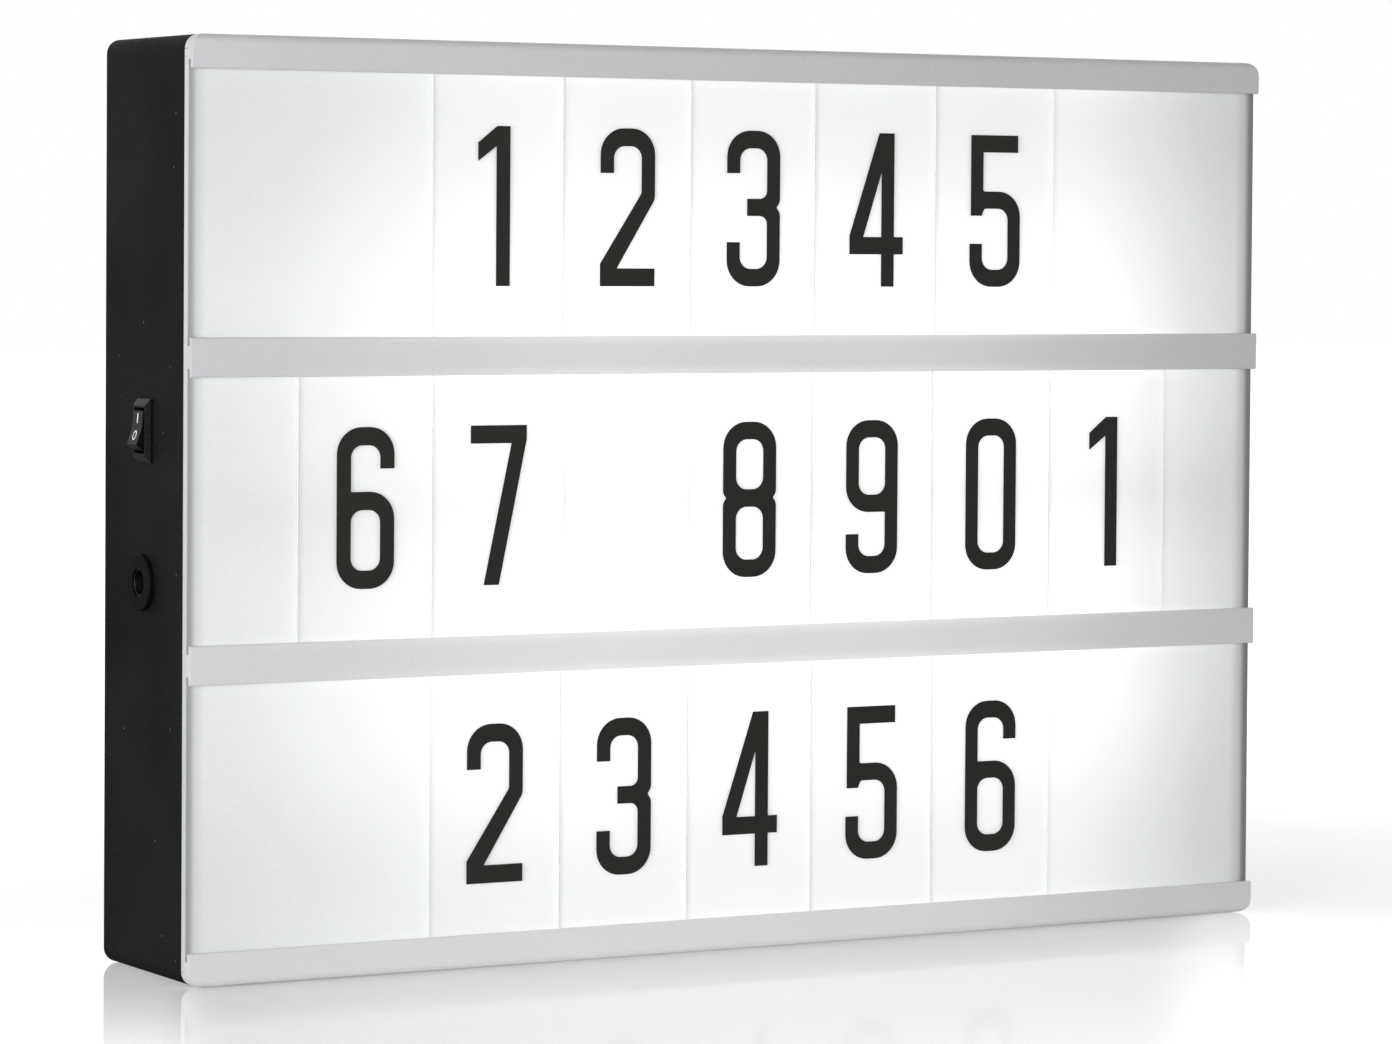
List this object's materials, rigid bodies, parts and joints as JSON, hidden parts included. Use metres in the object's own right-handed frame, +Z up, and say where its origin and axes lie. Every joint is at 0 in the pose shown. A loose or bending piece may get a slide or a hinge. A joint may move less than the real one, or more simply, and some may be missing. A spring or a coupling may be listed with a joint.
{
  "type": "cinema light box",
  "caption": "Black table-top light box with a lit white front, grooved rails that hold loose letter tiles, a side rocker switch, a DC socket and a battery door.",
  "frame": {"origin": "centre of the underside, half-way along the case's width and its depth", "axes": "+X to the viewer's right along the rails, the lit front faces -Y, +Z up"},
  "size_m": [0.3037, 0.05, 0.22],
  "materials": {
    "case_black": "fine spark-eroded texture, semi-matt",
    "opal": "opal diffuser, lit from behind",
    "rail_white": "satin white",
    "tile_film": "white translucent film, lit from behind",
    "reflector_white": "matt white sheet",
    "board_white": "white solder mask",
    "led_lens": "phosphor-filled lens",
    "chip_black": "ceramic chip",
    "nylon": "natural nylon",
    "contact_metal": "nickel plate",
    "screw_steel": "zinc plate",
    "switch_black": "smooth, slightly shiny",
    "terminal_brass": "plain brass",
    "washer_black": "dull rubber",
    "wire_red": "PVC insulation",
    "wire_black": "PVC insulation"
  },
  "bodies": {
    "case": {"side_frame": "case_black", "back_panel": "case_black", "front_panel": "opal", "panel_studs": "opal", "rail_top": "rail_white", "rail_upper": "rail_white", "rail_lower": "rail_white", "rail_bottom": "rail_white", "reflector": "reflector_white", "led_board_upper": "board_white", "led_board_lower": "board_white", "leds": "led_lens", "resistors": "chip_black", "board_rivets": "nylon", "battery_tray": "case_black", "battery_springs": "contact_metal", "battery_plates": "contact_metal", "back_screws": "screw_steel", "panel_screws": "screw_steel", "reflector_screws": "screw_steel", "tray_screws": "screw_steel", "switch_body": "switch_black", "switch_common": "terminal_brass", "switch_load": "terminal_brass", "jack_body": "switch_black", "jack_washer": "washer_black", "jack_nut": "contact_metal", "jack_sleeve": "contact_metal", "jack_pin": "terminal_brass", "jack_terminals": "contact_metal", "battery_lead_red": "wire_red", "battery_lead_black": "wire_black", "jack_lead": "wire_red", "ground_lead": "wire_black", "feed_lead": "wire_red", "link_lead_red": "wire_red", "link_lead_black": "wire_black"},
    "door": {"battery_door": "case_black"},
    "rocker": {"switch_rocker": "switch_black", "switch_plunger": "nylon", "switch_spring": "contact_metal"},
    "blade": {"switch_contact": "terminal_brass"},
    "tile_bottom_1": {"tile_bottom_1": "tile_film"},
    "tile_bottom_2": {"tile_bottom_2": "tile_film"},
    "tile_bottom_3": {"tile_bottom_3": "tile_film"},
    "tile_bottom_4": {"tile_bottom_4": "tile_film"},
    "tile_bottom_5": {"tile_bottom_5": "tile_film"},
    "tile_middle_1": {"tile_middle_1": "tile_film"},
    "tile_middle_2": {"tile_middle_2": "tile_film"},
    "tile_middle_3": {"tile_middle_3": "tile_film"},
    "tile_middle_4": {"tile_middle_4": "tile_film"},
    "tile_middle_5": {"tile_middle_5": "tile_film"},
    "tile_middle_6": {"tile_middle_6": "tile_film"},
    "tile_top_1": {"tile_top_1": "tile_film"},
    "tile_top_2": {"tile_top_2": "tile_film"},
    "tile_top_3": {"tile_top_3": "tile_film"},
    "tile_top_4": {"tile_top_4": "tile_film"},
    "tile_top_5": {"tile_top_5": "tile_film"}
  },
  "joints": [
    {"name": "door_hinge", "type": "hinge", "parent": "case", "child": "door", "pos_m": [0, 0.024, 0.0344], "axis": [-1, 0, 0], "range_deg": [0, 90]},
    {"name": "rocker_hinge", "type": "hinge", "parent": "case", "child": "rocker", "pos_m": [-0.1496, 0.0009, 0.1279], "axis": [0, 1, 0], "range_deg": [-24, 0]},
    {"name": "blade_hinge", "type": "hinge", "parent": "case", "child": "blade", "pos_m": [-0.144, 0.0009, 0.1279], "axis": [0, 1, 0], "range_deg": [0, 16]},
    {"name": "tile_bottom_3_slide", "type": "slide", "parent": "case", "child": "tile_bottom_3", "axis": [1, 0, 0], "range_m": [-0.02, 0.02]},
    {"name": "tile_bottom_2_slide", "type": "slide", "parent": "tile_bottom_3", "child": "tile_bottom_2", "axis": [1, 0, 0], "range_m": [-0.02, 0]},
    {"name": "tile_bottom_1_slide", "type": "slide", "parent": "tile_bottom_2", "child": "tile_bottom_1", "axis": [1, 0, 0], "range_m": [-0.02, 0]},
    {"name": "tile_bottom_4_slide", "type": "slide", "parent": "tile_bottom_3", "child": "tile_bottom_4", "axis": [1, 0, 0], "range_m": [0, 0.02]},
    {"name": "tile_bottom_5_slide", "type": "slide", "parent": "tile_bottom_4", "child": "tile_bottom_5", "axis": [1, 0, 0], "range_m": [0, 0.02]},
    {"name": "tile_top_3_slide", "type": "slide", "parent": "case", "child": "tile_top_3", "axis": [1, 0, 0], "range_m": [-0.02, 0.02]},
    {"name": "tile_top_2_slide", "type": "slide", "parent": "tile_top_3", "child": "tile_top_2", "axis": [1, 0, 0], "range_m": [-0.02, 0]},
    {"name": "tile_top_1_slide", "type": "slide", "parent": "tile_top_2", "child": "tile_top_1", "axis": [1, 0, 0], "range_m": [-0.02, 0]},
    {"name": "tile_top_4_slide", "type": "slide", "parent": "tile_top_3", "child": "tile_top_4", "axis": [1, 0, 0], "range_m": [0, 0.02]},
    {"name": "tile_top_5_slide", "type": "slide", "parent": "tile_top_4", "child": "tile_top_5", "axis": [1, 0, 0], "range_m": [0, 0.02]},
    {"name": "tile_middle_3_slide", "type": "slide", "parent": "case", "child": "tile_middle_3", "axis": [1, 0, 0], "range_m": [-0.008, 0.008]},
    {"name": "tile_middle_4_slide", "type": "slide", "parent": "tile_middle_3", "child": "tile_middle_4", "axis": [1, 0, 0], "range_m": [0, 0.006]},
    {"name": "tile_middle_5_slide", "type": "slide", "parent": "tile_middle_4", "child": "tile_middle_5", "axis": [1, 0, 0], "range_m": [0, 0.006]},
    {"name": "tile_middle_6_slide", "type": "slide", "parent": "tile_middle_5", "child": "tile_middle_6", "axis": [1, 0, 0], "range_m": [0, 0.006]},
    {"name": "tile_middle_2_slide", "type": "slide", "parent": "case", "child": "tile_middle_2", "axis": [1, 0, 0], "range_m": [-0.012, 0.024]},
    {"name": "tile_middle_1_slide", "type": "slide", "parent": "tile_middle_2", "child": "tile_middle_1", "axis": [1, 0, 0], "range_m": [-0.014, 0]}
  ],
  "couplings": [
    {"joint": "blade_hinge", "follows": "rocker_hinge", "ratio": -0.66667}
  ]
}
